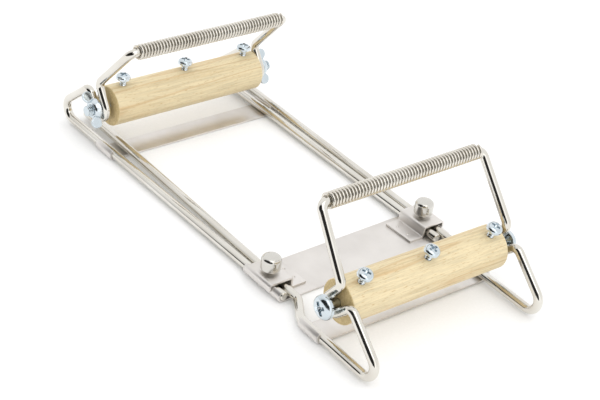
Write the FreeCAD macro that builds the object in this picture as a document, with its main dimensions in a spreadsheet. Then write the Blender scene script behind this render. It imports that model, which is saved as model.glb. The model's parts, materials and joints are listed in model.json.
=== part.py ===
"""Adjustable metal bead loom: two bent-wire end frames whose rails slide past each other.

Frame: millimetres, +Z up.  The origin is the centre of the clamp plate's underside, on the
surface that the loom stands on.  +X runs along the rollers and +Y from the clamp plate to
the far roller.  Each end frame is laid out about its own axle: "out" is the distance
outwards, away from the middle of the loom, and "side" is the distance along the roller.
"""
import FreeCAD, Part
import math
import os
from FreeCAD import Placement, Rotation, Vector

SIZES = (
    ("wire_dia", 4.0, "bent wire of both end frames"),
    ("rail_side", 45.0, "rail, leg and eye, from the frame's middle"),
    ("top_side", 43.6, "top corners, from the frame's middle"),
    ("top_out", -17.9, "top bar"),
    ("top_height", 56.3, "top bar"),
    ("near_left_top_in", 0.0, "near top bar's left corner, bent inwards"),
    ("near_left_top_rise", 0.6, "near top bar's left corner, bent upwards"),
    ("near_right_top_in", 1.2, "near top bar's right corner, bent inwards"),
    ("near_right_top_rise", 1.4, "near top bar's right corner, bent upwards"),
    ("arm_foot_out", 2.8, "bend between arm and eye"),
    ("arm_foot_height", 32.0, "bend between arm and eye"),
    ("far_axle_height", 20.5, "far roller and eye centre"),
    ("near_axle_height", 21.6, "near roller and eye centre"),
    ("eye_gap", 0.1, "eye round the axle screw, all round"),
    ("leg_top_out", 10.1, "bend between eye and leg"),
    ("leg_top_height", 26.2, "bend between eye and leg"),
    ("leg_slope", 41.0, "leg below the level, degrees"),
    ("top_bend", 3.4, "bend radius at the top corners"),
    ("arm_bend", 3.5, "bend radius at the foot of the arm"),
    ("leg_bend", 3.2, "bend radius at the top of the leg"),
    ("floor_bend", 5.5, "bend radius between leg and rail"),
    ("left_jog_shift", 7.15, "sideways step of the left near rail"),
    ("right_jog_shift", 5.23, "sideways step of the right near rail"),
    ("jog_bend", 6.0, "bend radius of that step"),
    ("jog_near", -16.5, "step's outer corner"),
    ("jog_far", -27.5, "step's inner corner"),
    ("near_rail_end", -194.0, "free ends of the near rails"),
    ("far_rail_end", -138.0, "cut ends of the far rails"),
    ("far_right_end_side", 42.8, "right far rail's cut end, drawn in by its clamp"),
    ("far_right_turn_out", -20.0, "where the right far rail starts to lean in"),
    ("far_right_turn_bend", 60.0, "bend radius there"),
    ("end_round", 0.8, "rounding of the wire's cut ends"),
    ("far_axle_y", 125.7, "far axle"),
    ("near_axle_y", -44.7, "near axle"),
    ("near_axle_x", -4.1, "near frame stands this far to one side"),
    ("near_yaw", -1.8, "near frame's turn about the vertical, degrees"),
    ("far_sheet", 0.9, "sheet of the far strap and the clamp plate"),
    ("near_sheet", 1.0, "sheet of the near strap"),
    ("strap_width", 12.0, "cross straps"),
    ("far_strap_out", -7.8, "middle of the far strap"),
    ("near_strap_out", -8.7, "middle of the near strap"),
    ("curl_end", 60.0, "end of a curled edge above the level, degrees"),
    ("plate_width", 23.6, "clamp plate"),
    ("plate_stop_gap", 0.25, "near rail to the plate's turned-up end"),
    ("plate_stop_height", 3.0, "turned-up end of the plate"),
    ("bracket_sheet", 1.0, "clamp bracket"),
    ("bracket_width", 16.0, "clamp bracket"),
    ("bracket_y", 1.0, "middle of the clamp brackets"),
    ("bracket_half", 5.3, "half the inside width of the arch"),
    ("bracket_flange", 8.6, "flange on the plate"),
    ("arch_under", 5.7, "underside of the arch"),
    ("arch_lip", 3.2, "lower edge of the arch's outer lip"),
    ("weld_dot", 0.7, "radius of a weld dimple"),
    ("weld_from_wall", 5.7, "weld dimples from the arch's wall"),
    ("weld_pitch", 6.5, "between two weld dimples"),
    ("left_pair_x", -42.75, "middle of the left pair of rails at the clamp"),
    ("right_pair_x", 45.25, "middle of the right pair of rails at the clamp"),
    ("stud_dia", 4.0, "clamp screw stud"),
    ("stud_gap", 0.06, "stud in the bracket and in the knob, all round"),
    ("stud_tip", 5.05, "lower end of the stud"),
    ("stud_top", 12.1, "upper end of the stud"),
    ("knob_dia", 8.6, "clamp screw knob"),
    ("knob_base", 8.1, "underside of the knob"),
    ("knob_tall", 6.6, "height of the knob"),
    ("knob_round", 1.9, "rounding of the knob's top"),
    ("spring_outer", 7.0, "coil spring"),
    ("spring_wire", 1.2, "spring wire"),
    ("spring_pitch", 1.62, "between two coils"),
    ("spring_turns", 50, "coils"),
    ("roller_dia", 19.0, "beech roller"),
    ("roller_long", 84.0, "beech roller"),
    ("far_roller_shift", 0.8, "far roller, to one side"),
    ("near_roller_shift", 0.6, "near roller, to one side"),
    ("roller_edge", 0.5, "chamfer at the roller's ends"),
    ("tie_pitch", 35.0, "between two tie screws"),
    ("far_tie_shift", 1.2, "far tie screws, to one side"),
    ("near_tie_lean", 17.0, "near tie screws lean outwards, degrees"),
    ("tie_dia", 3.0, "tie screw shank"),
    ("tie_head_dia", 6.8, "tie screw head"),
    ("tie_head_tall", 2.3, "tie screw head"),
    ("far_tie_proud", 3.0, "bare shank of the far tie screws"),
    ("near_tie_proud", 3.7, "bare shank of the near tie screws"),
    ("tie_deep", 7.0, "shank inside the wood"),
    ("far_axle_dia", 5.0, "threaded stud in the far roller's ends"),
    ("far_axle_end", 53.0, "free end of that stud, from the frame's middle"),
    ("near_axle_dia", 3.2, "near axle screw shank"),
    ("near_axle_head_dia", 10.4, "near axle screw head"),
    ("near_axle_head_tall", 3.3, "near axle screw head"),
    ("near_axle_head_side", 48.8, "underside of the head, from the frame's middle"),
    ("axle_deep", 18.0, "studs and screws inside a roller"),
    ("nut_side", 47.15, "wing nut's base, from the frame's middle"),
    ("nut_base_dia", 10.0, "wing nut hub at its base"),
    ("nut_top_dia", 8.4, "wing nut hub at its top"),
    ("nut_tall", 3.2, "wing nut hub"),
    ("nut_gap", 0.06, "wing nut on its stud, all round"),
    ("wing_sheet", 1.5, "thickness of a wing"),
    ("wing_tip_out", 6.4, "middle of a wing's round tip, from the stud"),
    ("wing_tip_up", 2.75, "the same, above the hub's base"),
    ("wing_tip_round", 2.5, "radius of a wing's tip"),
    ("left_wing_rise", 45.0, "left nut's outward wing above the level, degrees"),
    ("right_wing_rise", 65.0, "right nut's outward wing above the level, degrees"),
)

doc = FreeCAD.newDocument("bead_loom")
sheet = doc.addObject("Spreadsheet::Sheet", "Sizes")
for row, (alias, value, note) in enumerate(SIZES, start=1):
    sheet.set(f"A{row}", alias)
    sheet.set(f"B{row}", str(value))
    sheet.set(f"C{row}", note)
    sheet.setAlias(f"B{row}", alias)
doc.recompute()

nodes = []


def size(alias):
    """Value of a driving dimension."""
    return float(sheet.get(alias))


def bind(obj, **properties):
    """Tie properties of an object to formulas over the sheet's dimensions."""
    for name, formula in properties.items():
        for alias in sorted((row[0] for row in SIZES), key=len, reverse=True):
            formula = formula.replace("<" + alias + ">", "Sizes." + alias)
        obj.setExpression(name, formula)
    return obj


def part(kind, name, **properties):
    """New document object with properties tied to the sheet."""
    return bind(doc.addObject(kind, name), **properties)


def shape_feature(name, shape):
    """Plain feature that holds a path or an outline."""
    feature = doc.addObject("Part::Feature", name)
    feature.Shape = shape
    return feature


def node(obj, label, placement=Placement()):
    """Name a finished piece and put it in its place."""
    obj.Label = label
    obj.Placement = placement
    nodes.append(obj)
    return obj


def boolean(kind, name, base, tool):
    result = doc.addObject(kind, name)
    result.Base = base
    result.Tool = tool
    return result


def fused(name, pieces):
    result = doc.addObject("Part::MultiFuse", name)
    result.Shapes = pieces
    return result


# ---------------------------------------------------------------- paths and outlines

def corner_arc(before, corner, after, radius):
    """Tangent arc that rounds one corner, as (first point, middle point, last point)."""
    to_before = (before - corner).normalize()
    to_after = (after - corner).normalize()
    half = to_before.getAngle(to_after) / 2
    bisector = (to_before + to_after).normalize()
    centre = corner + bisector * (radius / math.sin(half))
    reach = radius / math.tan(half)
    return (corner + to_before * reach, centre - bisector * radius, corner + to_after * reach)


def rounded_edges(corners, closed=False):
    """Lines and tangent arcs along (point, radius) corners; radius 0 keeps a corner sharp."""
    points = [Vector(*point) for point, _ in corners]
    radii = [radius for _, radius in corners]
    count = len(points)
    arcs = []
    for i in range(count):
        is_end = not closed and i in (0, count - 1)
        if is_end or radii[i] == 0:
            arcs.append(None)
        else:
            arcs.append(corner_arc(points[i - 1], points[i], points[(i + 1) % count], radii[i]))
    edges = []
    for i in range(count):
        if arcs[i]:
            edges.append(Part.Arc(*arcs[i]).toShape())
        if i == count - 1 and not closed:
            break
        j = (i + 1) % count
        start = arcs[i][2] if arcs[i] else points[i]
        end = arcs[j][0] if arcs[j] else points[j]
        edges.append(Part.LineSegment(start, end).toShape())
    return edges


def wire_of(edges):
    return Part.Wire(Part.__sortEdges__(edges))


def eye_touches(end):
    """Where the wire meets its eye on the arm's side and on the leg's side, as (out, height)."""
    radius = (size(f"{end}_axle_dia") + size("wire_dia")) / 2 + size("eye_gap")
    height = size(f"{end}_axle_height")

    def touch(out, up, turn):
        distance = math.hypot(out, up - height)
        angle = math.atan2(up - height, out) + turn * math.acos(radius / distance)
        return (radius * math.cos(angle), height + radius * math.sin(angle))

    arm = touch(size("arm_foot_out"), size("arm_foot_height"), 1)
    leg = touch(size("leg_top_out"), size("leg_top_height"), -1)
    return arm, leg, radius


def top_corner(end, s):
    """Where an arm's line meets the top bar's; the near frame is bent a little askew."""
    out, height = size("top_out"), size("top_height")
    if end == "near":
        hand = {1: "left", -1: "right"}[s]
        out -= size(f"near_{hand}_top_in")
        height += size(f"near_{hand}_top_rise")
    return Vector(s * size("top_side"), out, height)


def frame_path(end, rail_height, rail_corners):
    """Centreline of an end frame's wire, from one rail's end over the top bar to the other's.

    rail_corners gives, for side +1 and -1, the rail's corners from its end to the leg."""
    arm_touch, leg_touch, eye_radius = eye_touches(end)
    side = size("rail_side")
    fall = math.tan(math.radians(size("leg_slope")))
    floor_out = size("leg_top_out") + (size("leg_top_height") - rail_height) / fall
    inner = (-eye_radius * math.cos(math.radians(20)),
             size(f"{end}_axle_height") - eye_radius * math.sin(math.radians(20)))

    def leg_run(s):
        return rail_corners[s] + [
            ((s * side, floor_out, rail_height), size("floor_bend")),
            ((s * side, size("leg_top_out"), size("leg_top_height")), size("leg_bend")),
            ((s * side, *leg_touch), 0)]

    def eye(s):
        points = [Vector(s * side, *p) for p in (leg_touch, inner, arm_touch)]
        return [Part.Arc(*points).toShape()]

    def half_top(s):
        return [((s * side, *arm_touch), 0),
                ((s * side, size("arm_foot_out"), size("arm_foot_height")), size("arm_bend")),
                (tuple(top_corner(end, s)), size("top_bend"))]

    top = half_top(1) + half_top(-1)[::-1]
    edges = rounded_edges(leg_run(1)) + eye(1) + rounded_edges(top) + eye(-1)
    return wire_of(edges + rounded_edges(leg_run(-1)[::-1]))


# ---------------------------------------------------------------- end frames

def far_place():
    return Placement(Vector(0, size("far_axle_y"), 0), Rotation())


def near_place():
    """The near frame is the far one turned round, a little askew and to one side."""
    turned = Rotation(Vector(0, 0, 1), 180 + size("near_yaw"))
    return Placement(Vector(size("near_axle_x"), size("near_axle_y"), 0), turned)


def wire_frame(end, rail_height, rail_corners, placement):
    name = f"{end}_wire_frame"
    path = shape_feature(name + "_path", frame_path(end, rail_height, rail_corners))
    section = part("Part::Circle", name + "_section", Radius="<wire_dia> / 2")
    start = Vector(*rail_corners[1][0][0])
    section.Placement = Placement(start, Rotation(Vector(0, 0, 1), Vector(0, 1, 0)))
    sweep = doc.addObject("Part::Sweep", name + "_sweep")
    sweep.Sections = [section]
    sweep.Spine = (path, [f"Edge{i + 1}" for i in range(len(path.Shape.Edges))])
    sweep.Solid = True
    doc.recompute()
    rims = [i + 1 for i, edge in enumerate(sweep.Shape.Edges) if is_rail_end(edge, rail_corners)]
    rounded = doc.addObject("Part::Fillet", name + "_ends")
    rounded.Base = sweep
    rounded.Edges = [(i, size("end_round"), size("end_round")) for i in rims]
    return node(rounded, name, placement)


def is_rail_end(edge, rail_corners):
    """True for the round edge at a rail's cut end."""
    ends = [Vector(*rail_corners[s][0][0]) for s in (1, -1)]
    return any((edge.BoundBox.Center - end).Length < size("wire_dia") / 8 for end in ends)


def spring(end, placement):
    """Open coil spring round the top bar, wound as a helix."""
    name = f"{end}_spring"
    coil = part("Part::Helix", name + "_line", Pitch="<spring_pitch>",
                Height="<spring_pitch> * <spring_turns>",
                Radius="(<spring_outer> - <spring_wire>) / 2")
    section = part("Part::Circle", name + "_section", Radius="<spring_wire> / 2")
    start = Vector((size("spring_outer") - size("spring_wire")) / 2, 0, 0)
    section.Placement = Placement(start, Rotation(Vector(1, 0, 0), 90))
    sweep = doc.addObject("Part::Sweep", name + "_coil")
    sweep.Sections = [section]
    sweep.Spine = (coil, ["Edge1"])
    sweep.Solid = True
    sweep.Frenet = True
    first, last = top_corner(end, -1), top_corner(end, 1)
    direction = (last - first).normalize()
    start = (first + last) * 0.5 - direction * (size("spring_pitch") * size("spring_turns") / 2)
    turn = Rotation(Vector(1, 0, 0), direction) * Rotation(Vector(0, 1, 0), 90)
    return node(sweep, name, placement * Placement(start, turn))


# ---------------------------------------------------------------- sheet parts

def on_rim(centre_x, centre_z, radius, degrees):
    angle = math.radians(degrees)
    return Vector(centre_x + radius * math.cos(angle), 0, centre_z + radius * math.sin(angle))


def curl(side, centre_z, thick, toward_edge):
    """Curled end of a sheet round a rail, in the XZ plane: outer arc, end face, inner arc."""
    inner = size("wire_dia") / 2
    x = side * size("rail_side")
    last = size("curl_end")
    turns = (-90, (last - 90) / 2, last)
    angles = turns if side > 0 else tuple(180 - a for a in turns)
    outer = [on_rim(x, centre_z, inner + thick, a) for a in angles]
    inside = [on_rim(x, centre_z, inner, a) for a in angles]
    arc_out = Part.Arc(*outer).toShape()
    arc_in = Part.Arc(*inside).toShape()
    end_face = Part.LineSegment(outer[2], inside[2]).toShape()
    return [arc_out, end_face, arc_in]


def straight(*points):
    return [Part.LineSegment(Vector(*a), Vector(*b)).toShape() for a, b in zip(points, points[1:])]


def extruded(name, edges, width):
    """Solid from a closed outline in the XZ plane, centred on Y."""
    outline = shape_feature(name + "_outline", wire_of(edges))
    solid = part("Part::Extrusion", name + "_sheet", LengthFwd=width)
    solid.Base = outline
    solid.DirMode = "Custom"
    solid.Dir = Vector(0, 1, 0)
    solid.Solid = True
    solid.Symmetric = True
    return solid


def cross_strap(end, placement):
    """Flat strap under both rails, with both ends curled up round them."""
    thick = size(f"{end}_sheet")
    side = size("rail_side")
    height = thick + size("wire_dia") / 2
    edges = straight((-side, 0, 0), (side, 0, 0)) + straight((-side, 0, thick), (side, 0, thick))
    for s in (1, -1):
        edges += curl(s, height, thick, side)
    strap = extruded(f"{end}_strap", edges, "<strap_width>")
    middle = Placement(Vector(0, size(f"{end}_strap_out"), 0), Rotation())
    return node(strap, f"{end}_strap", placement * middle)


def clamp_plate():
    """Plate across the loom: curled round the left far rail and turned up at the right."""
    thick = size("far_sheet")
    side = size("rail_side")
    stop_x = size("right_pair_x") + size("bracket_half") - size("plate_stop_gap") - 0.2
    top = size("plate_stop_height")
    edges = curl(-1, thick + size("wire_dia") / 2, thick, side)
    edges += straight((-side, 0, 0), (stop_x + thick, 0, 0), (stop_x + thick, 0, top),
                      (stop_x, 0, top), (stop_x, 0, thick), (-side, 0, thick))
    return node(extruded("clamp_plate", edges, "<plate_width>"), "clamp_plate")


def bracket_outline(facing):
    """Arch over the rails with a flange towards the middle of the loom (facing +1 or -1)."""
    thick = size("bracket_sheet")
    half = size("bracket_half")
    base = size("far_sheet")
    under = size("arch_under")
    lip = size("arch_lip")
    tip = half + size("bracket_flange")
    corners = [(tip, base, 0), (tip, base + thick, 0), (half + thick, base + thick, 0.5),
               (half + thick, under + thick, 1.5), (-half - thick, under + thick, 1.5),
               (-half - thick, lip, 0), (-half, lip, 0), (-half, under, 0.5),
               (half, under, 0.5), (half, base, 1.5)]
    return rounded_edges([((facing * x, 0, z), r) for x, z, r in corners], closed=True)


def clamp_bracket(name, facing, pair_alias):
    """Spring-steel clamp: arch, threaded hole for the stud and two weld dimples."""
    blank = extruded(name, bracket_outline(facing), "<bracket_width>")
    hole = part("Part::Cylinder", name + "_hole", Radius="<stud_dia> / 2 + <stud_gap>",
                Height="<arch_under> + 2 * <bracket_sheet>")
    tools = [hole]
    for k in (-1, 1):
        dimple = part("Part::Sphere", f"{name}_dimple", Radius="<weld_dot>")
        x = facing * (size("bracket_half") + size("weld_from_wall"))
        z = size("far_sheet") + size("bracket_sheet") + size("weld_dot") / 3
        dimple.Placement = Placement(Vector(x, k * size("weld_pitch") / 2, z), Rotation())
        tools.append(dimple)
    cut = boolean("Part::Cut", name + "_cut", blank, fused(name + "_tools", tools))
    return node(cut, name, Placement(Vector(size(pair_alias), size("bracket_y"), 0), Rotation()))


# ---------------------------------------------------------------- clamp screws

def screw_axis(pair_alias):
    return Placement(Vector(size(pair_alias), size("bracket_y"), 0), Rotation())


def clamp_stud(name, pair_alias):
    stud = part("Part::Cylinder", name + "_rod", Radius="<stud_dia> / 2",
                Height="<stud_top> - <stud_tip>")
    lift = Placement(Vector(0, 0, size("stud_tip")), Rotation())
    return node(stud, name, screw_axis(pair_alias) * lift)


def clamp_knob(name, pair_alias):
    """Smooth round knob with a domed edge, bored for its stud."""
    blank = part("Part::Cylinder", name + "_blank", Radius="<knob_dia> / 2", Height="<knob_tall>")
    doc.recompute()
    rims = [i + 1 for i, edge in enumerate(blank.Shape.Edges) if len(edge.Vertexes) == 1]
    rounded = doc.addObject("Part::Fillet", name + "_rounded")
    rounded.Base = blank
    radius = {i: (size("knob_round") if blank.Shape.Edges[i - 1].CenterOfMass.z > 1 else 0.5)
              for i in rims}
    rounded.Edges = [(i, radius[i], radius[i]) for i in rims]
    bore = part("Part::Cylinder", name + "_bore", Radius="<stud_dia> / 2 + <stud_gap>",
                Height="<stud_top> - <knob_base> + 2 * <stud_gap> + 1")
    bore.Placement = Placement(Vector(0, 0, -1), Rotation())
    knob = boolean("Part::Cut", name + "_bored", rounded, bore)
    lift = Placement(Vector(0, 0, size("knob_base")), Rotation())
    return node(knob, name, screw_axis(pair_alias) * lift)


# ---------------------------------------------------------------- screws and wing nuts

def pan_screw(name, kind, length, placement):
    """Pan-head screw with a cross recess, shank down from the origin along -Z."""
    head = part("Part::Cylinder", name + "_head", Radius=f"<{kind}_head_dia> / 2",
                Height=f"<{kind}_head_tall>")
    doc.recompute()
    upper = [i + 1 for i, edge in enumerate(head.Shape.Edges)
             if len(edge.Vertexes) == 1 and edge.CenterOfMass.z > size(f"{kind}_head_tall") / 2]
    dome = doc.addObject("Part::Fillet", name + "_dome")
    dome.Base = head
    crown = size(f"{kind}_head_tall") * 0.7
    dome.Edges = [(i, crown, crown) for i in upper]
    shank = part("Part::Cylinder", name + "_shank", Radius=f"<{kind}_dia> / 2", Height=length)
    shank.Placement = Placement(Vector(0, 0, 0), Rotation(Vector(1, 0, 0), 180))
    whole = fused(name + "_solid", [dome, shank])
    slots = []
    for turn in (0, 90):
        slot = part("Part::Box", f"{name}_slot{turn}", Length=f"<{kind}_head_dia> * 0.5",
                    Width=f"<{kind}_head_dia> * 0.13", Height=f"<{kind}_head_tall> * 0.7")
        corner = Vector(-size(f"{kind}_head_dia") * 0.25, -size(f"{kind}_head_dia") * 0.065, 0)
        lift = Placement(Vector(0, 0, size(f"{kind}_head_tall") * 0.45), Rotation())
        slot.Placement = lift * Placement(Vector(), Rotation(Vector(0, 0, 1), turn)) * \
            Placement(corner, Rotation())
        slots.append(slot)
    screw = boolean("Part::Cut", name + "_screw", whole, fused(name + "_cross", slots))
    return node(screw, name, placement)


def wing_outline(facing):
    """One wing in the XZ plane: from the hub out to a round tip."""
    tip = Vector(size("wing_tip_out"), 0, size("wing_tip_up"))
    radius = size("wing_tip_round")
    low = Vector(size("nut_top_dia") * 0.4, 0, size("nut_tall") * 0.12)
    high = Vector(size("nut_top_dia") * 0.4, 0, size("nut_tall") * 0.95)

    def touch(point, turn):
        reach = point - tip
        angle = math.atan2(reach.z, reach.x) + turn * math.acos(radius / reach.Length)
        return tip + Vector(math.cos(angle), 0, math.sin(angle)) * radius

    below = touch(low, 1)
    above = touch(high, -1)
    outer = tip + (((below + above) * 0.5 - tip).normalize() * -radius)
    mirrored = [Vector(facing * p.x, 0, p.z) for p in (low, below, outer, above, high)]
    low, below, outer, above, high = mirrored
    arc = Part.Arc(below, outer, above).toShape()
    return [Part.LineSegment(low, below).toShape(), arc,
            Part.LineSegment(above, high).toShape(), Part.LineSegment(high, low).toShape()]


def wing_nut(name, placement):
    """Wing nut standing on the XY plane, wings along X."""
    hub = part("Part::Cone", name + "_hub", Radius1="<nut_base_dia> / 2",
               Radius2="<nut_top_dia> / 2", Height="<nut_tall>")
    wings = [extruded(f"{name}_wing{i}", wing_outline(s), "<wing_sheet>")
             for i, s in enumerate((1, -1))]
    body = fused(name + "_body", [hub] + wings)
    bore = part("Part::Cylinder", name + "_bore", Radius="<far_axle_dia> / 2 + <nut_gap>",
                Height="<nut_tall> + 2")
    bore.Placement = Placement(Vector(0, 0, -1), Rotation())
    return node(boolean("Part::Cut", name + "_bored", body, bore), name, placement)


# ---------------------------------------------------------------- rollers

def tie_places(end, shift, lean):
    """Where the tie screws' heads sit on a roller, in the end frame's own layout."""
    places = []
    for k in (-1, 0, 1):
        middle = Placement(Vector(k * size("tie_pitch") + shift, 0, size(f"{end}_axle_height")),
                           Rotation(Vector(1, 0, 0), -lean))
        proud = size("roller_dia") / 2 + size(f"{end}_tie_proud")
        places.append(middle * Placement(Vector(0, 0, proud), Rotation()))
    return places


def along_roller(end, side, distance):
    """On the roller's axis, at a distance to one side, pointing outwards."""
    return Placement(Vector(side * distance, 0, size(f"{end}_axle_height")),
                     Rotation(Vector(0, 1, 0), side * 90))


def roller(end, shift, lean, placement):
    """Beech dowel with a blind hole in each end and three holes for the tie screws."""
    name = f"{end}_roller"
    reach = size("roller_long") / 2 - size(f"{end}_roller_shift")
    dowel = part("Part::Cylinder", name + "_dowel", Radius="<roller_dia> / 2",
                 Height="<roller_long>")
    dowel.Placement = along_roller(end, -1, reach) * Placement(
        Vector(0, 0, -size("roller_long")), Rotation())
    doc.recompute()
    rims = [i + 1 for i, edge in enumerate(dowel.Shape.Edges) if len(edge.Vertexes) == 1]
    eased = doc.addObject("Part::Chamfer", name + "_eased")
    eased.Base = dowel
    eased.Edges = [(i, size("roller_edge"), size("roller_edge")) for i in rims]
    holes = []
    for s in (1, -1):
        hole = part("Part::Cylinder", f"{name}_end_hole", Radius=f"<{end}_axle_dia> / 2",
                    Height="<axle_deep> + 2")
        hole.Placement = along_roller(end, s, size("roller_long") / 2 - size("axle_deep"))
        holes.append(hole)
    for place in tie_places(end, shift, lean):
        hole = part("Part::Cylinder", f"{name}_tie_hole", Radius="<tie_dia> / 2",
                    Height=f"<tie_deep> + <{end}_tie_proud>")
        deep = size("tie_deep") + size(f"{end}_tie_proud")
        hole.Placement = place * Placement(Vector(0, 0, -deep), Rotation())
        holes.append(hole)
    drilled = boolean("Part::Cut", name + "_drilled", eased, fused(name + "_holes", holes))
    return node(drilled, name, placement)


def roller_set(end, placement, shift, lean, hands):
    """Roller and tie screws of one end frame; hands names side +1 and side -1."""
    roller(end, shift, lean, placement)
    tie_names = (hands[-1], "middle", hands[1])
    for word, place in zip(tie_names, tie_places(end, shift, lean)):
        pan_screw(f"{end}_tie_screw_{word}", "tie", f"<{end}_tie_proud> + <tie_deep>",
                  placement * place)


def far_axles(placement, hands):
    """Threaded studs in the far roller's ends, each with its wing nut."""
    for s in (1, -1):
        name = f"far_axle_stud_{hands[s]}"
        stud = part("Part::Cylinder", name + "_rod", Radius="<far_axle_dia> / 2",
                    Height="<far_axle_end> - <roller_long> / 2 + <axle_deep>")
        start = along_roller("far", s, size("roller_long") / 2 - size("axle_deep"))
        node(stud, name, placement * start)
        rise = size(f"{hands[s]}_wing_rise")
        turned = Placement(Vector(), Rotation(Vector(0, 0, 1), 90 + s * rise))
        wing_nut(f"far_wing_nut_{hands[s]}",
                 placement * along_roller("far", s, size("nut_side")) * turned)


def near_axles(placement, hands):
    """Pan-head screws through the eyes into the roller's ends."""
    for s in (1, -1):
        pan_screw(f"near_axle_screw_{hands[s]}", "near_axle",
                  "<near_axle_head_side> - <roller_long> / 2 + <axle_deep>",
                  placement * along_roller("near", s, size("near_axle_head_side")))


# ---------------------------------------------------------------- the loom

def far_rails(height):
    """Corners of both far rails from their cut ends to the floor bend, for frame_path."""
    side = size("rail_side")
    end = size("far_rail_end")
    right = [((size("far_right_end_side"), end, height), 0),
             ((side, size("far_right_turn_out"), height), size("far_right_turn_bend"))]
    return {1: right, -1: [((-side, end, height), 0)]}


def near_rails(height):
    """The same for the near rails, which step sideways; side +1 of this frame is the left."""
    side = size("rail_side")
    corners = {}
    for s, hand in ((1, "left"), (-1, "right")):
        moved = s * side - size(f"{hand}_jog_shift")
        corners[s] = [((moved, size("near_rail_end"), height), 0),
                      ((moved, size("jog_far"), height), size("jog_bend")),
                      ((s * side, size("jog_near"), height), size("jog_bend"))]
    return corners


def build():
    far_height = size("far_sheet") + size("wire_dia") / 2
    near_height = size("near_sheet") + size("wire_dia") / 2
    far, near = far_place(), near_place()
    wire_frame("far", far_height, far_rails(far_height), far)
    wire_frame("near", near_height, near_rails(near_height), near)
    spring("far", far)
    spring("near", near)
    cross_strap("far", far)
    cross_strap("near", near)
    clamp_plate()
    for hand, facing in (("left", 1), ("right", -1)):
        clamp_bracket(f"{hand}_clamp_bracket", facing, f"{hand}_pair_x")
        clamp_stud(f"{hand}_clamp_stud", f"{hand}_pair_x")
        clamp_knob(f"{hand}_clamp_knob", f"{hand}_pair_x")
    far_hands = {1: "right", -1: "left"}
    near_hands = {1: "left", -1: "right"}
    roller_set("far", far, size("far_tie_shift"), 0, far_hands)
    far_axles(far, far_hands)
    roller_set("near", near, 0, size("near_tie_lean"), near_hands)
    near_axles(near, near_hands)


def check_and_export():
    """Stop on any failed object or bad shape, then write one file for each piece."""
    doc.recompute()
    for obj in doc.Objects:
        if "Invalid" in obj.State or "Error" in obj.State:
            raise RuntimeError(f"{obj.Name} did not rebuild: {obj.State}")
    for obj in nodes:
        shape = obj.Shape
        if shape.isNull() or not shape.isValid() or not shape.Solids:
            raise RuntimeError(f"{obj.Label} has no valid solid")
    os.makedirs("parts", exist_ok=True)
    for obj in nodes:
        obj.Shape.exportStep(f"parts/{obj.Label}.step")
        box = obj.Shape.BoundBox
        print(f"{obj.Label:26s} {obj.Shape.Volume:10.1f} mm3  x {box.XMin:7.1f} {box.XMax:7.1f}"
              f"  y {box.YMin:7.1f} {box.YMax:7.1f}  z {box.ZMin:6.2f} {box.ZMax:6.2f}")


build()
check_and_export()
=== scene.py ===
"""Looks of an adjustable metal bead loom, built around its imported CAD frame.

Meshes are made in millimetres and scaled to metres when they become pieces.  Each end frame
is laid out about its own axle, as in the CAD: local X runs along the roller, local +Y is
"out", away from the middle of the loom, and local Z is up.
"""
import json
import math
import random

import bmesh
import bpy
from mathutils import Matrix, Vector


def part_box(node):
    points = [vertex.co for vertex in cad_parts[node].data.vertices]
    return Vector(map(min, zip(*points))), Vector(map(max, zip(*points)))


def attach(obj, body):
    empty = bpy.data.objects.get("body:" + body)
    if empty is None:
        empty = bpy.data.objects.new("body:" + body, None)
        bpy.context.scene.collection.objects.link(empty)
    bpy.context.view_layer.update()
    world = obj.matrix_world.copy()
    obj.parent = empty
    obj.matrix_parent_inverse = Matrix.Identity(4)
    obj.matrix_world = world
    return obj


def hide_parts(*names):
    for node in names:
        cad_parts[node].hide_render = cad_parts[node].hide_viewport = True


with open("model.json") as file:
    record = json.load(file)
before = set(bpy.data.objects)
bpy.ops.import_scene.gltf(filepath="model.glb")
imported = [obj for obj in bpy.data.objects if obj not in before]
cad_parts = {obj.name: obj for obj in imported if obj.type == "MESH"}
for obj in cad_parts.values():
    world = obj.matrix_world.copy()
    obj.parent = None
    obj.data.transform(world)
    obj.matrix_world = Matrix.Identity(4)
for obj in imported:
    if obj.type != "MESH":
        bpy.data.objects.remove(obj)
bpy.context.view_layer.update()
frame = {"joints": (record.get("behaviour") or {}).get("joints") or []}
joints = {joint["name"]: joint for joint in frame["joints"]}
scene = bpy.context.scene
chance = random.Random(7)

# ---------------------------------------------------------------- driving sizes, in mm

# Bent wire.  "out" and "rise" are along local Y and Z; sides are 1 and -1 along local X.
WIRE_R = 2.0
WIRE_STEP = 8.0
RAIL_SIDE = 45.0
TOP_SIDE = 43.6
TOP_OUT = -17.9
TOP_HEIGHT = 56.3
TOP_ASKEW = {"far": {1: (0.0, 0.0), -1: (0.0, 0.0)}, "near": {1: (0.0, 0.6), -1: (-1.2, 1.4)}}
ARM_FOOT = (2.8, 32.0)
LEG_TOP = (10.1, 26.2)
EYE_R = {"far": 4.6, "near": 3.7}
AXLE_Z = {"far": 20.5, "near": 21.6}
LEG_SLOPE = math.radians(41.0)
TOP_BEND = 3.4
ARM_BEND = 3.5
LEG_BEND = 3.2
FLOOR_BEND = 5.5
END_ROUND = 0.8
END_STEPS = 4

# Rails, from their cut ends.
JOG = {1: 7.15, -1: 5.23}
JOG_BEND = 6.0
JOG_NEAR = -16.5
JOG_FAR = -27.5
NEAR_RAIL_END = -194.0
FAR_RAIL_END = -138.0
FAR_RIGHT_END = 42.8
FAR_BEND_OUT = -20.0
FAR_BEND = 60.0

# Coil springs.
SPRING_R = 3.5
SPRING_WIRE_R = 0.6
SPRING_PITCH = 1.62
SPRING_TURNS = 50
SPRING_STEPS = 22
SPRING_UNEVEN = 0.05

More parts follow.
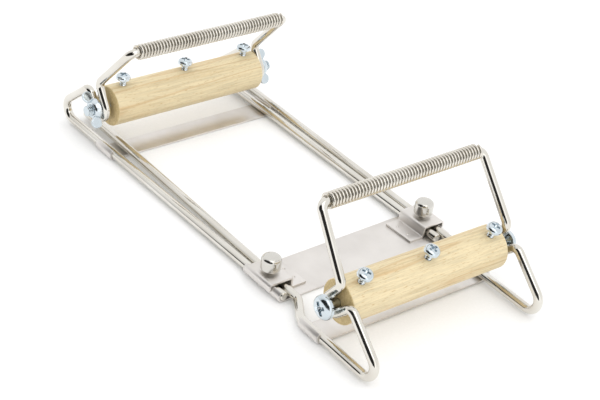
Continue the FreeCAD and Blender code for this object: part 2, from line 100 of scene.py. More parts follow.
# Cross straps and clamp plate.
THICK = {"far": 0.9, "near": 1.0}
SHEET_EDGE = 0.14
STRAP_OUT = {"far": -7.8, "near": -8.7}
STRAP_WIDE = 12.0
CURL_END = math.radians(60.0)
CURL_GAP = 0.02
PLATE_WIDE = 23.6
PLATE_STOP_GAP = 0.45
PLATE_STOP = 3.0
PLATE_INNER_BEND = 0.5
PLATE_OUTER_BEND = 0.9

# Clamp brackets, studs and knobs.
BRACKET_SHEET = 1.0
BRACKET_EDGE = 0.16
BRACKET_BEND = 1.1
BRACKET_WIDE = 16.0
BRACKET_HALF = 5.3
BRACKET_FLANGE = 8.6
ARCH_UNDER = 5.7
ARCH_LIP = 3.2
WELD_FROM_WALL = 5.7
WELD_PITCH = 6.5
WELD_R = 0.8
WELD_LIFT = 0.35
STUD_R = 2.0
STUD_GAP = 0.06
KNOB_R = 4.3
KNOB_TALL = 6.6
KNOB_RIM = 0.5
KNOB_CROWN = 1.9

# Rollers and their screws.  A thread is (depth, pitch) and a head is (radius, height).
ROLLER_R = 9.5
ROLLER_LONG = 84.0
ROLLER_EASE = 0.5
ROLLER_STEPS = 30
ROLLER_SHIFT = {"far": 0.8, "near": 0.6}
AXLE_R = {"far": 2.5, "near": 1.6}
AXLE_GAP = 0.15
FAR_AXLE_END = 53.0
NEAR_HEAD_SIDE = 48.8
AXLE_DEEP = 18.0
TIE_R = 1.5
TIE_GAP = 0.12
TIE_PROUD = {"far": 3.0, "near": 3.7}
TIE_DEEP = 7.0
TIE_HOLE = 9.0
TIE_PITCH = 35.0
TIE_SHIFT = {"far": 1.2, "near": 0.0}
TIE_LEAN = {"far": 0.0, "near": math.radians(17.0)}
AXLE_THREAD = (0.38, 0.8)
TIE_THREAD = (0.34, 1.1)
CLAMP_THREAD = (0.3, 0.7)
THREAD_ROWS = 8
AXLE_HEAD = (5.2, 3.3)
TIE_HEAD = (3.4, 2.3)

# Wing nuts.
NUT_SIDE = 47.15
NUT_TALL = 3.2
NUT_BORE = 2.56
WING_ROOT = 3.0
WING_REACH = 5.9
WING_HALF = 1.0
WING_THINNING = 0.35
WING_TIP = (6.4, 2.75)
WING_TIP_R = 2.5
WING_RISE = {"left": 45.0, "right": 65.0}

# The near end is laid out turned half round, so its sides swap hands.
HANDS = {"far": {1: "right", -1: "left"}, "near": {1: "left", -1: "right"}}


# ---------------------------------------------------------------- placements from the frame

def end_place(joint_name, turned):
    """Placement of an end frame: its axle dropped to the floor, and its turn about Z."""
    joint = joints[joint_name]
    x, y, _ = joint["pos_m"]
    along = Vector(joint["axis"])
    turn = math.atan2(along.y, along.x) + (math.pi if turned else 0.0)
    return Matrix.Translation((x * 1000, y * 1000, 0.0)) @ Matrix.Rotation(turn, 4, "Z")


def shift(x, y, z):
    return Matrix.Translation((x, y, z))


PLACE = {"far": end_place("far_roller_turn", False), "near": end_place("near_roller_turn", True)}


def along_roller(end, side, distance):
    """On the roller's axis, at a distance to one side, with local Z pointing outwards."""
    turn = Matrix.Rotation(side * math.pi / 2, 4, "Y")
    return shift(side * distance, 0, AXLE_Z[end]) @ turn


def node_middle(node):
    low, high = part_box(node)
    return (low + high) * 500


# ---------------------------------------------------------------- mesh helpers

def smooth(mesh, degrees):
    """Smooth shading, with edges sharper than an angle kept crisp."""
    for polygon in mesh.polygons:
        polygon.use_smooth = True
    mesh.set_sharp_from_angle(angle=math.radians(degrees))


def mesh_from(name, bm):
    bmesh.ops.recalc_face_normals(bm, faces=bm.faces)
    mesh = bpy.data.meshes.new(name)
    bm.to_mesh(mesh)
    bm.free()
    return mesh


def with_modifiers(mesh, *modifiers):
    """New mesh with (type, settings) modifiers applied one after another."""
    obj = bpy.data.objects.new("work", mesh)
    scene.collection.objects.link(obj)
    for kind, settings in modifiers:
        modifier = obj.modifiers.new(kind, kind)
        for key, value in settings.items():
            setattr(modifier, key, value)
    graph = bpy.context.evaluated_depsgraph_get()
    graph.update()
    result = bpy.data.meshes.new_from_object(obj.evaluated_get(graph))
    bpy.data.objects.remove(obj)
    return result


def boolean(mesh, tool_mesh, operation):
    tool = bpy.data.objects.new("tool", tool_mesh)
    scene.collection.objects.link(tool)
    result = with_modifiers(mesh, ("BOOLEAN", {"object": tool, "operation": operation,
                                               "solver": "EXACT"}))
    bpy.data.objects.remove(tool)
    return result


def add_piece(name, mesh, body, material, place, replaces=(), degrees=35.0):
    """Put a mesh made in mm in place as a piece that rides on a CAD body."""
    mesh = mesh.copy()
    mesh.transform(Matrix.Scale(0.001, 4))
    mesh.name = name
    mesh.materials.clear()
    mesh.materials.append(material)
    smooth(mesh, degrees)
    obj = bpy.data.objects.new(name, mesh)
    scene.collection.objects.link(obj)
    matrix = place.copy()
    matrix.translation *= 0.001
    obj.matrix_world = matrix
    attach(obj, body)
    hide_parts(*(replaces or (name,)))
    return obj


def skin(bm, rings, lengths):
    """Quads between rings of positions, closed at both ends.

    UVs are (share of the way round, length in mm).
    """
    uv_layer = bm.loops.layers.uv.verify()
    made = [[bm.verts.new(p) for p in ring] for ring in rings]
    count = len(made[0])
    for i in range(len(made) - 1):
        for j in range(count):
            k = (j + 1) % count
            face = bm.faces.new((made[i][j], made[i][k], made[i + 1][k], made[i + 1][j]))
            corners = ((j / count, lengths[i]), ((j + 1) / count, lengths[i]),
                       ((j + 1) / count, lengths[i + 1]), (j / count, lengths[i + 1]))
            for loop, uv in zip(face.loops, corners):
                loop[uv_layer].uv = uv
    bm.faces.new(made[0][::-1])
    bm.faces.new(made[-1])


def running_lengths(points):
    lengths = [0.0]
    for a, b in zip(points, points[1:]):
        lengths.append(lengths[-1] + (b - a).length)
    return lengths


def round_tube(bm, points, radii, sides):
    """Round tube along points that don't twist it; radii holds one radius for each point."""
    tangents = []
    for i in range(len(points)):
        a, b = points[max(i - 1, 0)], points[min(i + 1, len(points) - 1)]
        tangents.append((b - a).normalized())
    normal = tangents[0].orthogonal().normalized()
    rings = []
    for i, tangent in enumerate(tangents):
        if i:
            normal = tangents[i - 1].rotation_difference(tangent) @ normal
        normal = (normal - tangent * normal.dot(tangent)).normalized()
        binormal = tangent.cross(normal)
        rings.append([points[i] + (normal * math.cos(math.tau * j / sides)
                                   + binormal * math.sin(math.tau * j / sides)) * radii[i]
                      for j in range(sides)])
    skin(bm, rings, running_lengths(points))


def arc_points(centre, start, end, steps, angle=None):
    """Points on an arc about a centre; angle is given where the arc is over half a turn."""
    a, b = start - centre, end - centre
    axis = a.cross(b).normalized()
    whole = a.angle(b)
    if angle is not None:
        axis, whole = angle
    return [centre + Matrix.Rotation(whole * i / steps, 3, axis) @ a for i in range(steps + 1)]


def rounded_path(corners, step_degrees=5.0):
    """Points along a path of (point, bend radius) corners, with round bends."""
    points = [Vector(corners[0][0])]
    for i in range(1, len(corners) - 1):
        corner, radius = Vector(corners[i][0]), corners[i][1]
        before = (Vector(corners[i - 1][0]) - corner).normalized()
        after = (Vector(corners[i + 1][0]) - corner).normalized()
        if radius == 0:
            points.append(corner)
            continue
        half = before.angle(after) / 2
        centre = corner + (before + after).normalized() * (radius / math.sin(half))
        reach = radius / math.tan(half)
        steps = max(2, round((180 - 2 * math.degrees(half)) / step_degrees))
        points += arc_points(centre, corner + before * reach, corner + after * reach, steps)
    points.append(Vector(corners[-1][0]))
    return points


def lathe(profile, segments):
    """Mesh turned about Z from an (r, z) profile; points with r = 0 close it."""
    bm = bmesh.new()
    rings = []
    for r, z in profile:
        if r == 0:
            rings.append([bm.verts.new((0, 0, z))])
        else:
            angles = [math.tau * j / segments for j in range(segments)]
            rings.append([bm.verts.new((r * math.cos(a), r * math.sin(a), z)) for a in angles])
    for a, b in zip(rings, rings[1:]):
        for j in range(segments):
            k = (j + 1) % segments
            if len(a) == 1:
                bm.faces.new((a[0], b[k], b[j]))
            elif len(b) == 1:
                bm.faces.new((a[j], a[k], b[0]))
            else:
                bm.faces.new((a[j], a[k], b[k], b[j]))
    return mesh_from("lathe", bm)


def cylinder(radius, low, high, segments):
    return lathe([(0, low), (radius, low), (radius, high), (0, high)], segments)


def ellipse_arc(centre_r, centre_z, size_r, size_z, start, end, steps):
    """Profile points on an ellipse's arc, angles in degrees from +r towards +z."""
    angles = [math.radians(start + (end - start) * i / steps) for i in range(steps + 1)]
    return [(centre_r + size_r * math.cos(a), centre_z + size_z * math.sin(a)) for a in angles]


def slab(outline, halves):
    """Outline in XZ with its own half thickness along Y at each point."""
    bm = bmesh.new()
    sides = [[bm.verts.new((x, s * half, z)) for (x, z), half in zip(outline, halves)]
             for s in (-1, 1)]
    bm.faces.new(sides[0])
    bm.faces.new(sides[1][::-1])
    for i in range(len(outline)):
        j = (i + 1) % len(outline)
        bm.faces.new((sides[0][j], sides[0][i], sides[1][i], sides[1][j]))
    return mesh_from("slab", bm)


def prism(outline, width, edge):
    """Sheet part: an outline in XZ given a width along Y, with its rims eased."""
    mesh = slab(outline, [width / 2] * len(outline))
    return with_modifiers(mesh, ("BEVEL", {"width": edge, "segments": 2,
                                           "limit_method": "ANGLE",
                                           "angle_limit": math.radians(40)}))


# ---------------------------------------------------------------- materials

BUMP_HEIGHT = 0.0001
PATCH_SCALE = 55.0
POLISH_SCALE = 240.0
DRAWN_LINES = (26.0, 0.05, 1.0)


def set_inputs(made, **inputs):
    """Set or link a node's inputs, each by its name, or by its number after "_"."""
    for key, value in inputs.items():
        socket = made.inputs[int(key[1:]) if key[1:].isdigit() else key.replace("_", " ")]
        if isinstance(value, bpy.types.NodeSocket):
            made.id_data.links.new(value, socket)
        else:
            socket.default_value = value


def node_maker(tree):
    """Function that adds a node to a tree, with its settings and inputs."""
    def node(kind, settings=None, **inputs):
        made = tree.nodes.new(kind)
        for key, value in (settings or {}).items():
            setattr(made, key, value)
        set_inputs(made, **inputs)
        return made

    return node


def new_material(name):
    """Node material, its Principled shader, and its node maker."""
    material = bpy.data.materials.new(name)
    material.use_nodes = True
    tree = material.node_tree
    return material, tree.nodes["Principled BSDF"], node_maker(tree)


def ramp(node, source, stops):
    """Colour ramp over (position, colour) stops."""
    made = node("ShaderNodeValToRGB", None, Fac=source)
    elements = made.color_ramp.elements
    while len(elements) < len(stops):
        elements.new(0.5)
    for element, (position, colour) in zip(elements, stops):
        element.position = position
        element.color = (*colour, 1.0)
    return made.outputs["Color"]


def grey(value):
    return (value, value, value)


def mapped(node, source, scale):
    return node("ShaderNodeMapping", None, Vector=source, Scale=scale).outputs["Vector"]


def noise(node, vector, scale, detail=3.0, rough=0.5):
    made = node("ShaderNodeTexNoise", None, Vector=vector, Scale=scale, Detail=detail,
                Roughness=rough)
    return made.outputs["Fac"]


def math_node(node, operation, a, b):
    return node("ShaderNodeMath", {"operation": operation}, _0=a, _1=b).outputs[0]


def mix(node, factor, a, b, blend="MIX"):
    """Mix of two colours, each a socket or (r, g, b)."""
    a, b = (c if isinstance(c, bpy.types.NodeSocket) else (*c, 1.0) for c in (a, b))
    made = node("ShaderNodeMix", {"data_type": "RGBA", "blend_type": blend},
                _0=factor, _6=a, _7=b)
    return made.outputs[2]


def metal(name, light, dark, rough, spread, bump, grain=None):
    """Plated metal: patchy tone, uneven polish, and a fine grain, or drawn lines without it."""
    material, shader, node = new_material(name)
    coords = node("ShaderNodeTexCoord")
    space = coords.outputs["Object"]
    patches = noise(node, space, PATCH_SCALE, 2.0)
    polish = noise(node, space, POLISH_SCALE, 4.0, 0.65)
    if grain:
        relief = noise(node, space, grain, 3.0, 0.6)
    else:
        relief = noise(node, mapped(node, coords.outputs["UV"], DRAWN_LINES), 1.0, 2.0)
    raised = node("ShaderNodeBump", None, Height=relief, Strength=bump, Distance=BUMP_HEIGHT)
    set_inputs(shader, Metallic=1.0, Normal=raised.outputs["Normal"],
               Base_Color=ramp(node, patches, [(0.35, dark), (0.65, light)]),
               Roughness=ramp(node, polish, [(0.3, grey(rough - spread)),
                                             (0.7, grey(rough + spread))]))
    return material


def beech():
    """Sanded beech: soft bands, thin growth lines, fibres, short flecks, and end faces painted
    darker, partly for their open end grain and partly as painted shade.
    """
    material, shader, node = new_material("beech")
    coords = node("ShaderNodeTexCoord")
    space = coords.outputs["Object"]
    pale, tan, brown = (0.76, 0.64, 0.405), (0.68, 0.53, 0.30), (0.54, 0.37, 0.17)
    # The pore and end tones colour the roller's end faces: partly darker end grain, partly
    # painted shade on those faces.
    line_tone, shaded_pore_tone, shaded_end_tone = (0.60, 0.40, 0.19), (0.42, 0.31, 0.14), (0.60, 0.47, 0.24)

    def grain(source, along, across, detail, rough=0.5):
        """Noise with its own scales along the grain and across it."""
        return noise(node, mapped(node, source, (along, across, across)), 1.0, detail, rough)

    sway = grain(space, 14.0, 30.0, 2.0)
    bent = node("ShaderNodeVectorMath", {"operation": "MULTIPLY_ADD"}, _0=sway,
                _1=(0.0, 0.004, 0.004), _2=space).outputs[0]
    bands = grain(bent, 12.0, 260.0, 3.0, 0.55)
    fibres = grain(bent, 60.0, 1500.0, 4.0, 0.6)
    flecks = grain(bent, 420.0, 3600.0, 1.0)
    growth = grain(bent, 5.0, 95.0, 1.0)
    pores = grain(space, 10.0, 900.0, 4.0, 0.7)
    tone = ramp(node, bands, [(0.30, tan), (0.48, pale), (0.60, pale), (0.76, tan)])
    line = ramp(node, growth, [(0.44, grey(0.0)), (0.475, grey(0.6)), (0.49, grey(0.0))])
    tone = mix(node, line, tone, line_tone)
    strand = ramp(node, fibres, [(0.30, grey(0.80)), (0.60, grey(1.0))])
    tone = mix(node, 1.0, tone, strand, "MULTIPLY")
    spot = ramp(node, flecks, [(0.30, grey(0.75)), (0.38, grey(0.0))])
    tone = mix(node, spot, tone, brown)
    # Faces that look along the roller's axis get the darker end colour, partly real end grain and
    # partly painted shade.
    facing = node("ShaderNodeSeparateXYZ", None, Vector=coords.outputs["Normal"]).outputs["X"]
    end = math_node(node, "GREATER_THAN", math_node(node, "ABSOLUTE", facing, 0.0), 0.7)
    end_grain_and_painted_shade = ramp(node, pores, [(0.35, shaded_pore_tone), (0.65, shaded_end_tone)])
    raised = node("ShaderNodeBump", None, Height=fibres, Strength=0.25, Distance=BUMP_HEIGHT)
    set_inputs(shader, Base_Color=mix(node, end, tone, end_grain_and_painted_shade),
               Roughness=ramp(node, fibres, [(0.3, grey(0.62)), (0.7, grey(0.48))]),
               Normal=raised.outputs["Normal"])
    return material


WIRE = metal("nickel_wire", (0.76, 0.74, 0.69), (0.69, 0.66, 0.60), 0.09, 0.03, 0.12)
COIL = metal("nickel_spring", (0.76, 0.73, 0.67), (0.66, 0.62, 0.55), 0.16, 0.04, 0.10)
SHEET = metal("nickel_sheet", (0.82, 0.79, 0.76), (0.75, 0.72, 0.69), 0.42, 0.08, 0.5, 2600)
KNOB = metal("nickel_knob", (0.71, 0.70, 0.66), (0.63, 0.61, 0.57), 0.15, 0.04, 0.12, 1500)
ZINC = metal("bright_zinc", (0.72, 0.77, 0.81), (0.58, 0.65, 0.69), 0.15, 0.06, 0.25, 900)
WOOD = beech()


# ---------------------------------------------------------------- end frames

def eye_touch(end, out, up, turn):
    """Where a straight from (out, up) meets the eye."""
    distance = math.hypot(out, up - AXLE_Z[end])
    angle = math.atan2(up - AXLE_Z[end], out) + turn * math.acos(EYE_R[end] / distance)
    return EYE_R[end] * math.cos(angle), AXLE_Z[end] + EYE_R[end] * math.sin(angle)


def eye_arc(end, side, leg_touch, arm_touch):
    """The eye round the axle, from the leg's side to the arm's, past the inner side."""
    centre = Vector((side * RAIL_SIDE, 0, AXLE_Z[end]))
    first = Vector((side * RAIL_SIDE, *leg_touch))
    a = math.atan2(leg_touch[1] - AXLE_Z[end], leg_touch[0])
    b = math.atan2(arm_touch[1] - AXLE_Z[end], arm_touch[0])
    sweep = (a - b) % math.tau
    return arc_points(centre, first, first, 40, (Vector((-1, 0, 0)), sweep))


def top_corner(end, side):
    """Where an arm's line meets the top bar's; the near frame is bent a little askew."""
    out, rise = TOP_ASKEW[end][side]
    return Vector((side * TOP_SIDE, TOP_OUT + out, TOP_HEIGHT + rise))


def rail_corners(end, side, rail_z):
    """(Point, bend radius) corners of a rail from its cut end.

    The near rails step sideways, and the far right rail is drawn in a little by its clamp.
    """
    if end == "near":
        moved = side * RAIL_SIDE - JOG[side]
        return [((moved, NEAR_RAIL_END, rail_z), 0), ((moved, JOG_FAR, rail_z), JOG_BEND),
                ((side * RAIL_SIDE, JOG_NEAR, rail_z), JOG_BEND)]
    if side == 1:
        return [((FAR_RIGHT_END, FAR_RAIL_END, rail_z), 0),
                ((RAIL_SIDE, FAR_BEND_OUT, rail_z), FAR_BEND)]
    return [((-RAIL_SIDE, FAR_RAIL_END, rail_z), 0)]


def half_frame(end, side):
    """Points from a rail's cut end over the floor bend and the eye to the top bar's middle."""
    rail_z = THICK[end] + WIRE_R
    floor_out = LEG_TOP[0] + (LEG_TOP[1] - rail_z) / math.tan(LEG_SLOPE)
    arm_touch = eye_touch(end, *ARM_FOOT, 1)
    leg_touch = eye_touch(end, *LEG_TOP, -1)
    lower = rounded_path(rail_corners(end, side, rail_z)
                         + [((side * RAIL_SIDE, floor_out, rail_z), FLOOR_BEND),
                            ((side * RAIL_SIDE, *LEG_TOP), LEG_BEND),
                            ((side * RAIL_SIDE, *leg_touch), 0)])
    eye = eye_arc(end, side, leg_touch, arm_touch)
    top = top_corner(end, side)
    middle = (top + top_corner(end, -side)) / 2
    upper = rounded_path([((side * RAIL_SIDE, *arm_touch), 0),
                          ((side * RAIL_SIDE, *ARM_FOOT), ARM_BEND), (top, TOP_BEND),
                          (middle, 0)])
    return lower + eye[1:] + upper[1:]


def rounded_start(points):
    """Points and radii for the start of a wire whose cut ends are tumbled round."""
    heads, radii = [], []
    inward = (points[1] - points[0]).normalized()
    for i in range(END_STEPS + 1):
        a = math.pi / 2 * i / END_STEPS
        heads.append(points[0] + inward * END_ROUND * (1 - math.sin(a)))
        radii.append(WIRE_R - END_ROUND * (1 - math.cos(a)))
    return heads[::-1], radii[::-1]


def wire_frame(end):
    """One wire from cut end to cut end, its long straights split into short steps."""
    name = f"{end}_wire_frame"
    points = half_frame(end, 1) + half_frame(end, -1)[::-1][1:]
    first, first_radii = rounded_start(points)
    last, last_radii = rounded_start(points[::-1])
    line = [first[-1]] + points[1:-1] + [last[-1]]
    spread = line[:1]
    for a, b in zip(line, line[1:]):
        pieces = max(1, math.ceil((b - a).length / WIRE_STEP))
        spread += [a.lerp(b, k / pieces) for k in range(1, pieces + 1)]
    whole = first[:-1] + spread + last[::-1][1:]
    radii = first_radii[:-1] + [WIRE_R] * len(spread) + last_radii[::-1][1:]
    bm = bmesh.new()
    round_tube(bm, whole, radii, 32)
    add_piece(name, mesh_from(name, bm), f"{end}_frame", WIRE, PLACE[end])


def spring(end):
    """Coil spring round the top bar, each coil a hair uneven."""
    name = f"{end}_spring"
    first, last = top_corner(end, -1), top_corner(end, 1)
    turn = Vector((1, 0, 0)).rotation_difference(last - first).to_matrix().to_4x4()
    on_bar = Matrix.Translation((first + last) / 2) @ turn
    radius = SPRING_R - SPRING_WIRE_R
    length = SPRING_PITCH * SPRING_TURNS
    offsets = [chance.uniform(-SPRING_UNEVEN, SPRING_UNEVEN) for _ in range(SPRING_TURNS + 1)]
    points = []
    for i in range(SPRING_TURNS * SPRING_STEPS + 1):
        coil, part = divmod(i, SPRING_STEPS)
        share = part / SPRING_STEPS
        nudge = offsets[coil] * (1 - share)
        nudge += offsets[min(coil + 1, SPRING_TURNS)] * share
        angle = math.tau * i / SPRING_STEPS
        x = -length / 2 + SPRING_PITCH * i / SPRING_STEPS + nudge
        points.append(on_bar @ Vector((x, radius * math.sin(angle), radius * math.cos(angle))))
    radii = [SPRING_WIRE_R] * len(points)
    radii[0] = radii[-1] = SPRING_WIRE_R * 0.8
    bm = bmesh.new()
    round_tube(bm, points, radii, 12)
    add_piece(name, mesh_from(name, bm), f"{end}_frame", COIL, PLACE[end])


# ---------------------------------------------------------------- sheet parts

def curl(side, thick):
    """Outline of an end curled round a rail: out along the underside, back along the inside."""
    rail_x, rail_z = side * RAIL_SIDE, thick + WIRE_R
    steps = 16
    inner, outer = WIRE_R + CURL_GAP, WIRE_R + thick
    angles = [-math.pi / 2 + (CURL_END + math.pi / 2) * i / steps for i in range(steps + 1)]
    out = [(rail_x + side * outer * math.cos(a), rail_z + outer * math.sin(a)) for a in angles]
    back = [(rail_x + side * inner * math.cos(a), rail_z + inner * math.sin(a))
            for a in angles[::-1]]
    return out + back


def cross_strap(end):
    outline = curl(1, THICK[end]) + curl(-1, THICK[end])[::-1]
    mesh = prism(outline, STRAP_WIDE, SHEET_EDGE)
    add_piece(f"{end}_strap", mesh, f"{end}_frame", SHEET,
              PLACE[end] @ shift(0, STRAP_OUT[end], 0))


def clamp_plate():
    """Plate curled round the far left rail and turned up as a stop beside the right clamp."""
    thick = THICK["far"]
    stop = node_middle("right_clamp_stud").x + BRACKET_HALF - PLATE_STOP_GAP
    inner, outer = PLATE_INNER_BEND, PLATE_OUTER_BEND
    right = ellipse_arc(stop + thick - outer, outer, outer, outer, -90, 0, 6)
    right += [(stop + thick, PLATE_STOP), (stop, PLATE_STOP)]
    right += ellipse_arc(stop - inner, thick + inner, inner, inner, 0, -90, 6)
    mesh = prism(right + curl(-1, thick)[::-1], PLATE_WIDE, SHEET_EDGE)
    add_piece("clamp_plate", mesh, "far_frame", SHEET, Matrix.Identity(4))


def sheet_outline(corners, thick):
    """Closed outline of a bent sheet from the (point, bend radius) corners of its middle."""
    line = rounded_path([((x, 0, z), r) for (x, z), r in corners], 12)
    sides = {1: [], -1: []}
    for i, p in enumerate(line):
        a, b = line[max(i - 1, 0)], line[min(i + 1, len(line) - 1)]
        d = (b - a).normalized()
        for s in sides:
            sides[s].append((p.x - d.z * s * thick / 2, p.z + d.x * s * thick / 2))
    return sides[1] + sides[-1][::-1]


def clamp_bracket(hand, facing):
    """Arch over both rails, with a flange on the plate and a hole for the stud."""
    base = THICK["far"]
    mid = BRACKET_SHEET / 2
    wall, top = BRACKET_HALF + mid, ARCH_UNDER + mid
    line = [((-wall, ARCH_LIP), 0), ((-wall, top), BRACKET_BEND), ((wall, top), BRACKET_BEND),
            ((wall, base + mid), BRACKET_BEND), ((BRACKET_HALF + BRACKET_FLANGE, base + mid), 0)]
    outline = sheet_outline(line, BRACKET_SHEET)
    mesh = prism([(facing * x, z) for x, z in outline], BRACKET_WIDE, BRACKET_EDGE)
    mesh = boolean(mesh, cylinder(STUD_R + STUD_GAP, 0, 12, 48), "DIFFERENCE")
    for k in (-1, 1):
        ball = ellipse_arc(0, 0, WELD_R, WELD_R, -90, 90, 8)
        dent = lathe([(0, -1)] + ball[1:-1] + [(0, WELD_R)], 20)
        dent.transform(shift(facing * (BRACKET_HALF + WELD_FROM_WALL), k * WELD_PITCH / 2,
                             base + BRACKET_SHEET + WELD_LIFT))
        mesh = boolean(mesh, dent, "DIFFERENCE")
    middle = node_middle(f"{hand}_clamp_stud")
    add_piece(f"{hand}_clamp_bracket", mesh, "far_frame", SHEET,
              shift(middle.x, middle.y, 0))


# ---------------------------------------------------------------- screws

def threaded(radius, thread, start, end, segments):
    """Rod along Z with a real thread, a little flat on its crests, that runs out at both ends."""
    depth, pitch = thread
    rows = round((end - start) / pitch * THREAD_ROWS)
    rings, lengths = [], []
    for i in range(rows + 1):
        z = start + (end - start) * i / rows
        fade = min(1.0, (z - start) / pitch, (end - z) / pitch)
        ring = []
        for j in range(segments):
            phase = (z / pitch - j / segments) % 1.0
            height = 1 - abs(2 * phase - 1)
            r = radius - depth * (1 - min(1.0, 1.35 * height)) * fade - depth * (1 - fade) * 0.6
            a = math.tau * j / segments
            ring.append(Vector((r * math.cos(a), r * math.sin(a), z)))
        rings.append(ring)
        lengths.append(z)
    bm = bmesh.new()
    skin(bm, rings, lengths)
    return mesh_from("threaded", bm)


def recess(size, depth, top):
    """Cutter for a cross recess: two tapered blades and a pointed middle."""
    bm = bmesh.new()
    for turn in (0, 90):
        spin = Matrix.Rotation(math.radians(turn), 4, "Z")
        wide, thin = size, size * 0.27
        levels = ((top + 0.5, 1.1, 1.05), (top - depth * 0.55, 0.86, 0.92),
                  (top - depth, 0.42, 0.75))
        rings = []
        for z, grow_x, grow_y in levels:
            x, y = wide * grow_x, thin * grow_y
            corners = ((x, y), (-x, y), (-x, -y), (x, -y))
            rings.append([spin @ Vector((px, py, z)) for px, py in corners])
        skin(bm, rings, [0, 1, 2])
    blades = mesh_from("blades", bm)
    cone = lathe([(0, top - depth * 1.35), (size * 0.46, top - depth * 0.6),
                  (size * 0.60, top + 0.5), (0, top + 0.5)], 4)
    cone.transform(Matrix.Rotation(math.radians(45), 4, "Z"))
    return blades, cone


def pan_head(radius, tall):
    """Pan head above z = 0 with a cross recess."""
    side = tall * 0.30
    crown = ellipse_arc(radius * 0.42, side, radius * 0.58, tall - side, 0, 90, 12)
    profile = [(0, 0), (radius - 0.15, 0), (radius, 0.15)] + crown
    profile += [(radius * 0.2, tall + 0.04), (0, tall + 0.05)]
    mesh = lathe(profile, 64)
    blades, cone = recess(radius * 0.56, tall * 0.62, tall)
    blades = with_modifiers(blades, ("REMESH", {"mode": "VOXEL", "voxel_size": 0.09}))
    mesh = boolean(mesh, cone, "DIFFERENCE")
    return boolean(mesh, blades, "DIFFERENCE")


def joined(*meshes):
    """One mesh out of several closed ones."""
    bm = bmesh.new()
    for mesh in meshes:
        bm.from_mesh(mesh)
    return mesh_from("joined", bm)


def axle_screw():
    """Near axle screw: its head looks along +Z and its smooth shank runs down from z = 0."""
    long = NEAR_HEAD_SIDE - ROLLER_LONG / 2 + AXLE_DEEP
    radius = AXLE_R["near"]
    rod = lathe([(0, -long), (radius - 0.3, -long), (radius, 0.5 - long), (radius, 0.4),
                 (0, 0.4)], 40)
    return joined(pan_head(*AXLE_HEAD), rod)


def axle_stud():
    """Far axle stud: threaded all along, from z = 0 outwards."""
    long = FAR_AXLE_END - ROLLER_LONG / 2 + AXLE_DEEP
    return threaded(AXLE_R["far"], AXLE_THREAD, 0, long, 32)


def tie_screw(end):
    rod = threaded(TIE_R, TIE_THREAD, -TIE_PROUD[end] - TIE_DEEP, 0.3, 28)
    return joined(pan_head(*TIE_HEAD), rod)


# ---------------------------------------------------------------- wing nuts and clamp screws

def wing(side):
    """A wing in XZ: it springs from the hub and thins to a broad round tip."""
    tip = ellipse_arc(*WING_TIP, WING_TIP_R, WING_TIP_R, -85, 136, 14)
    outline = [(3.2, 0.45), (4.8, 0.45)] + tip + [(3.2, 3.2)]
    halves = [WING_HALF - WING_THINNING * min(1.0, max(0.0, (x - WING_ROOT) / WING_REACH))
              for x, _ in outline]
    return slab([(side * x, z) for x, z in outline], halves)


def wing_nut():
    """Forged wing nut on the XY plane, wings along X, its edges soft."""
    nut = lathe([(NUT_BORE, 0), (4.6, 0), (5.0, 0.4), (4.85, 1.1), (4.2, NUT_TALL - 0.7),
                 (3.7, NUT_TALL), (NUT_BORE, NUT_TALL), (NUT_BORE, 0)], 64)
    for side in (1, -1):
        nut = boolean(nut, wing(side), "UNION")
    return with_modifiers(nut, ("REMESH", {"mode": "VOXEL", "voxel_size": 0.16}),
                          ("SMOOTH", {"factor": 0.5, "iterations": 6}))


def knob():
    """Smooth turned knob with a crowned top; z = 0 is its underside."""
    rim, crown = KNOB_RIM, KNOB_CROWN
    profile = [(0, 0), (KNOB_R - rim, 0)] + ellipse_arc(KNOB_R - rim, rim, rim, rim, -90, 0, 5)
    profile += ellipse_arc(KNOB_R - crown, KNOB_TALL - 2.1, crown, crown, 0, 82, 12)
    profile += [(1.4, KNOB_TALL - 0.03), (0, KNOB_TALL)]
    bore = cylinder(STUD_R + STUD_GAP, -1, 4.1, 40)
    return boolean(lathe(profile, 72), bore, "DIFFERENCE")


def clamp_screw(hand, knob_mesh):
    """A clamp's threaded stud and its knob, at the heights that the CAD gives them."""
    low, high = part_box(f"{hand}_clamp_stud")
    middle = node_middle(f"{hand}_clamp_stud")
    stud = threaded(STUD_R, CLAMP_THREAD, low.z * 1000, high.z * 1000, 32)
    add_piece(f"{hand}_clamp_stud", stud, f"{hand}_clamp_stud", KNOB,
              shift(middle.x, middle.y, 0))
    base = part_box(f"{hand}_clamp_knob")[0].z * 1000
    add_piece(f"{hand}_clamp_knob", knob_mesh, f"{hand}_clamp_knob", KNOB,
              shift(middle.x, middle.y, base))


# ---------------------------------------------------------------- rollers

def tie_place(end, k):
    """A tie screw's head on the roller, in the end frame's own layout."""
    proud = ROLLER_R + TIE_PROUD[end]
    turn = Matrix.Rotation(-TIE_LEAN[end], 4, "X")
    return shift(k * TIE_PITCH + TIE_SHIFT[end], 0, AXLE_Z[end]) @ turn @ shift(0, 0, proud)


